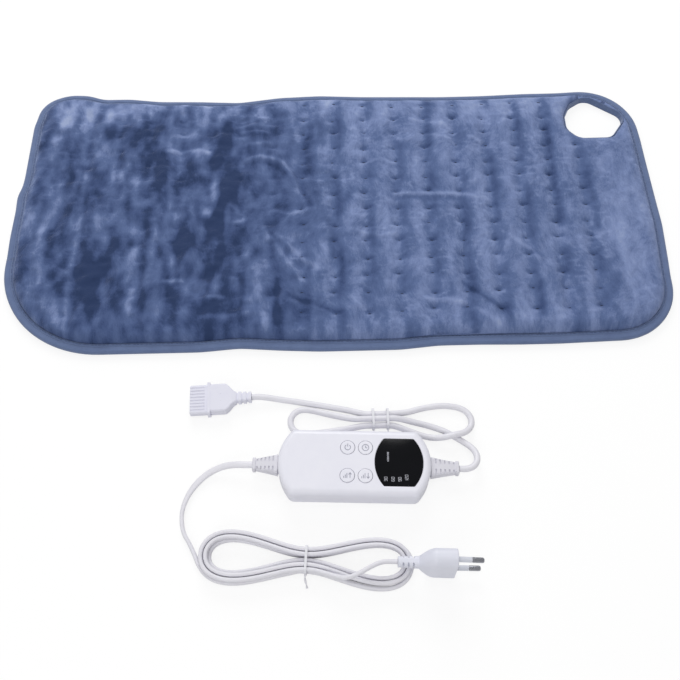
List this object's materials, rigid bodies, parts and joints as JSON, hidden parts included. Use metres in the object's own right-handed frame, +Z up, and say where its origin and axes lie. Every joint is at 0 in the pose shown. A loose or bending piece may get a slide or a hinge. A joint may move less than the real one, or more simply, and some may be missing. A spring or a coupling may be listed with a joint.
{
  "type": "heating pad with controller",
  "caption": "Quilted electric heating pad with a corner hand hole, lying flat, with its push-button controller, a round connector lead and a flat mains cord with a plug.",
  "frame": {"origin": "centre of the pad's underside, on the surface that it lies on", "axes": "+X along the pad's long side, towards the side with the hand hole; +Y from the controller to the pad; +Z up"},
  "size_m": [0.6, 0.4922, 0.0354],
  "materials": {
    "plush": "soft quilted pile",
    "backing_fabric": "plain woven",
    "binding_tape": "smooth woven tape",
    "felt": "needled felt",
    "wire_insulation": "smooth",
    "case_plastic": "satin",
    "cord_plastic": "smooth",
    "plug_plastic": "satin",
    "dark_plastic": "matte",
    "display_window": "polished",
    "circuit_laminate": "satin",
    "steel": "bright",
    "brass": "bright"
  },
  "bodies": {
    "heating_pad_set": {"top_cover": "plush", "bottom_cover": "backing_fabric", "edge_binding": "binding_tape", "hole_binding": "binding_tape", "heater_carrier": "felt", "heating_wire": "wire_insulation", "bottom_shell": "case_plastic", "top_shell": "case_plastic", "connector_body": "cord_plastic", "lead_cord_run": "cord_plastic", "lead_cord_hank": "cord_plastic", "lead_cord_tail": "cord_plastic", "lead_tie_1": "cord_plastic", "lead_tie_2": "cord_plastic", "mains_strain_relief": "cord_plastic", "lead_strain_relief": "cord_plastic", "mains_cord_run": "cord_plastic", "mains_cord_hank": "cord_plastic", "mains_cord_tail": "cord_plastic", "mains_tie": "cord_plastic", "plug_body": "plug_plastic", "pin_sleeve_1": "plug_plastic", "pin_sleeve_2": "plug_plastic", "temperature_sensor": "dark_plastic", "inlet_housing": "dark_plastic", "display_module": "dark_plastic", "film_capacitor": "dark_plastic", "triac": "dark_plastic", "power_switch": "dark_plastic", "timer_switch": "dark_plastic", "heat_up_switch": "dark_plastic", "heat_down_switch": "dark_plastic", "display_lens": "display_window", "circuit_board": "circuit_laminate", "fuse": "steel", "plug_pin_1": "steel", "plug_pin_2": "steel", "case_screw_1": "steel", "case_screw_2": "steel", "case_screw_3": "steel", "case_screw_4": "steel", "inlet_contact_block": "brass", "connector_contact_1": "brass", "connector_contact_2": "brass", "connector_contact_3": "brass", "connector_contact_4": "brass"},
    "power_button_body": {"power_button": "case_plastic", "power_plunger": "dark_plastic"},
    "timer_button_body": {"timer_button": "case_plastic", "timer_plunger": "dark_plastic"},
    "heat_up_button_body": {"heat_up_button": "case_plastic", "heat_up_plunger": "dark_plastic"},
    "heat_down_button_body": {"heat_down_button": "case_plastic", "heat_down_plunger": "dark_plastic"}
  },
  "joints": [
    {"name": "power_press", "type": "slide", "parent": "heating_pad_set", "child": "power_button_body", "axis": [0, 0, -1], "range_m": [0, 0.0006], "stiffness_N_per_m": 300},
    {"name": "timer_press", "type": "slide", "parent": "heating_pad_set", "child": "timer_button_body", "axis": [0, 0, -1], "range_m": [0, 0.0006], "stiffness_N_per_m": 300},
    {"name": "heat_up_press", "type": "slide", "parent": "heating_pad_set", "child": "heat_up_button_body", "axis": [0, 0, -1], "range_m": [0, 0.0006], "stiffness_N_per_m": 300},
    {"name": "heat_down_press", "type": "slide", "parent": "heating_pad_set", "child": "heat_down_button_body", "axis": [0, 0, -1], "range_m": [0, 0.0006], "stiffness_N_per_m": 300}
  ]
}
